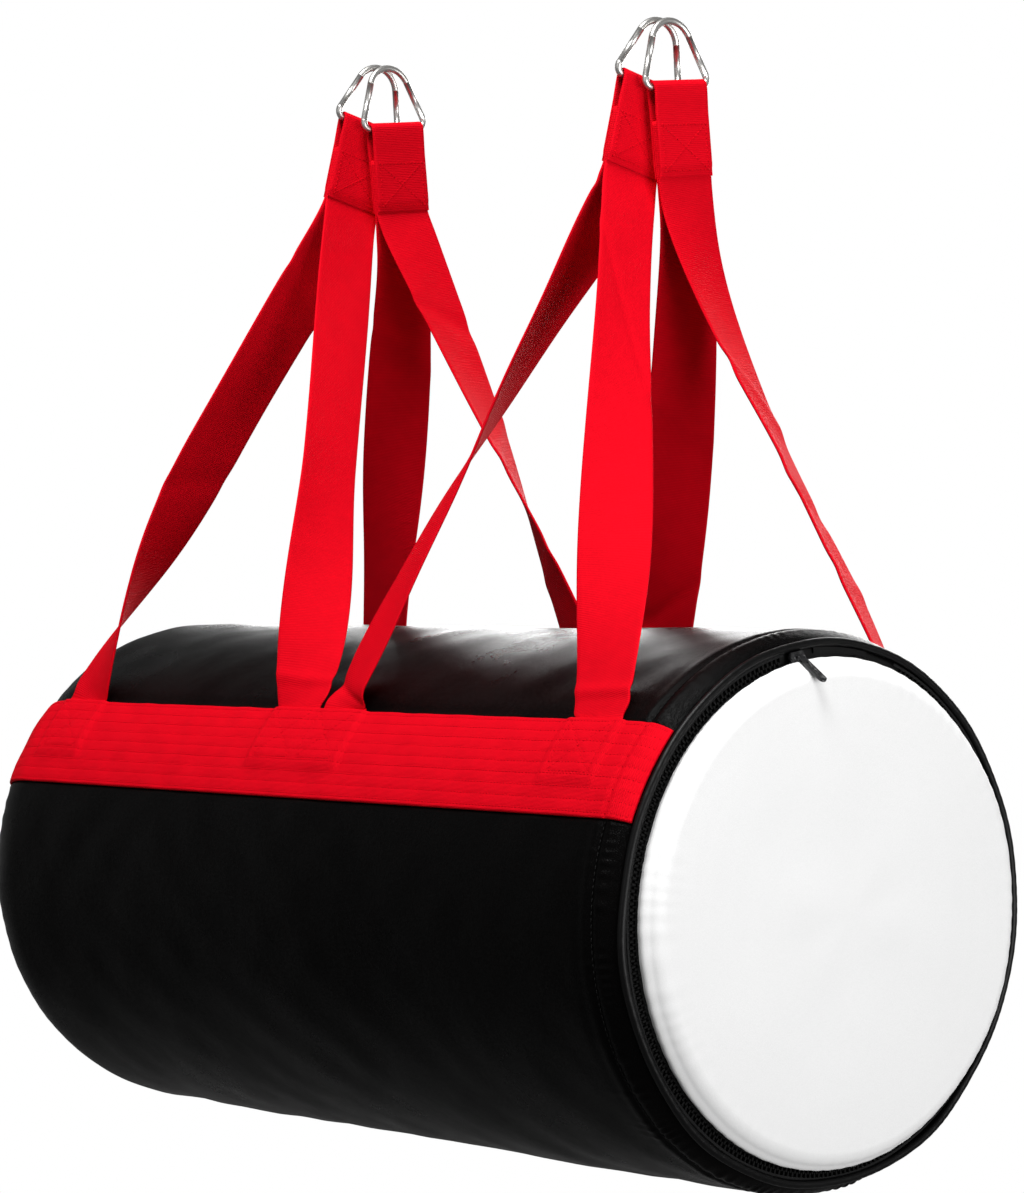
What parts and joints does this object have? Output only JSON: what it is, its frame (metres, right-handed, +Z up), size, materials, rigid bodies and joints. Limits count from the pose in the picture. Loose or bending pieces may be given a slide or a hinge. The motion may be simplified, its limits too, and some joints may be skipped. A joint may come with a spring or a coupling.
{
  "type": "heavy punching bag",
  "caption": "Horizontal heavy punching bag: stuffed cylinder with a zip-off padded end, carried by V-shaped webbing straps that end in steel D-rings.",
  "frame": {"origin": "middle of the line through the two hook points, at the inside top of the D-rings", "axes": "+Z up towards the hooks, X along the bag with +X at the zipped white end, Y across the bag with -Y at the front band"},
  "size_m": [0.797, 0.376, 0.8091],
  "materials": {
    "black_leather": "satin",
    "white_leather": "satin",
    "black_trim": "satin",
    "zip_tape": "matte",
    "zip_teeth": "satin",
    "foam": "matte",
    "canvas": "matte",
    "filling": "matte",
    "red_webbing": "matte",
    "ring_steel": "polished",
    "black_metal": "satin"
  },
  "bodies": {
    "bag": {"outer_shell": "black_leather", "far_end_panel": "black_leather", "foam_liner": "foam", "far_foam_pad": "foam", "near_foam_pad": "foam", "canvas_sack": "canvas", "filling": "filling", "rim_welt": "black_trim", "hinge_strip": "black_trim", "shell_zip_tape": "zip_tape", "shell_zip_teeth": "zip_teeth", "front_band": "red_webbing", "back_band": "red_webbing", "strap_front_far_outer": "red_webbing", "strap_front_far_inner": "red_webbing", "strap_front_near_inner": "red_webbing", "strap_front_near_outer": "red_webbing", "strap_back_far_outer": "red_webbing", "strap_back_far_inner": "red_webbing", "strap_back_near_inner": "red_webbing", "strap_back_near_outer": "red_webbing", "fold_front_far": "red_webbing", "fold_back_far": "red_webbing", "fold_front_near": "red_webbing", "fold_back_near": "red_webbing"},
    "end_flap": {"end_panel": "white_leather", "panel_pad": "foam", "panel_backing": "black_trim", "panel_zip_tape": "zip_tape", "panel_zip_teeth": "zip_teeth"},
    "zip_slider": {"zip_slider": "black_metal"},
    "zip_pull": {"zip_pull": "black_metal"},
    "ring_front_far": {"d_ring_front_far": "ring_steel"},
    "ring_back_far": {"d_ring_back_far": "ring_steel"},
    "ring_front_near": {"d_ring_front_near": "ring_steel"},
    "ring_back_near": {"d_ring_back_near": "ring_steel"}
  },
  "joints": [
    {"name": "end_flap_open", "type": "hinge", "parent": "bag", "child": "end_flap", "pos_m": [0.3715, 0, -0.44303], "axis": [0, -1, 0], "range_deg": [0, 75]},
    {"name": "zip_slider_travel", "type": "hinge", "parent": "end_flap", "child": "zip_slider", "pos_m": [0.3713, 0, -0.616], "axis": [1, 0, 0], "range_deg": [0, 332]},
    {"name": "zip_pull_swing", "type": "hinge", "parent": "zip_slider", "child": "zip_pull", "pos_m": [0.3769, -0.04156, -0.44933], "axis": [0, -0.9703, -0.2419], "range_deg": [0, 95]},
    {"name": "ring_front_far_swing", "type": "hinge", "parent": "bag", "child": "ring_front_far", "pos_m": [-0.1695, -0.00816, -0.04379], "axis": [0, -0.9848, 0.1736], "range_deg": [0, 80]},
    {"name": "ring_back_far_swing", "type": "hinge", "parent": "bag", "child": "ring_back_far", "pos_m": [-0.1555, 0.00816, -0.04379], "axis": [0, 0.9848, 0.1736], "range_deg": [0, 80]},
    {"name": "ring_front_near_swing", "type": "hinge", "parent": "bag", "child": "ring_front_near", "pos_m": [0.1555, -0.00816, -0.04379], "axis": [0, -0.9848, 0.1736], "range_deg": [0, 80]},
    {"name": "ring_back_near_swing", "type": "hinge", "parent": "bag", "child": "ring_back_near", "pos_m": [0.1695, 0.00816, -0.04379], "axis": [0, 0.9848, 0.1736], "range_deg": [0, 80]}
  ]
}
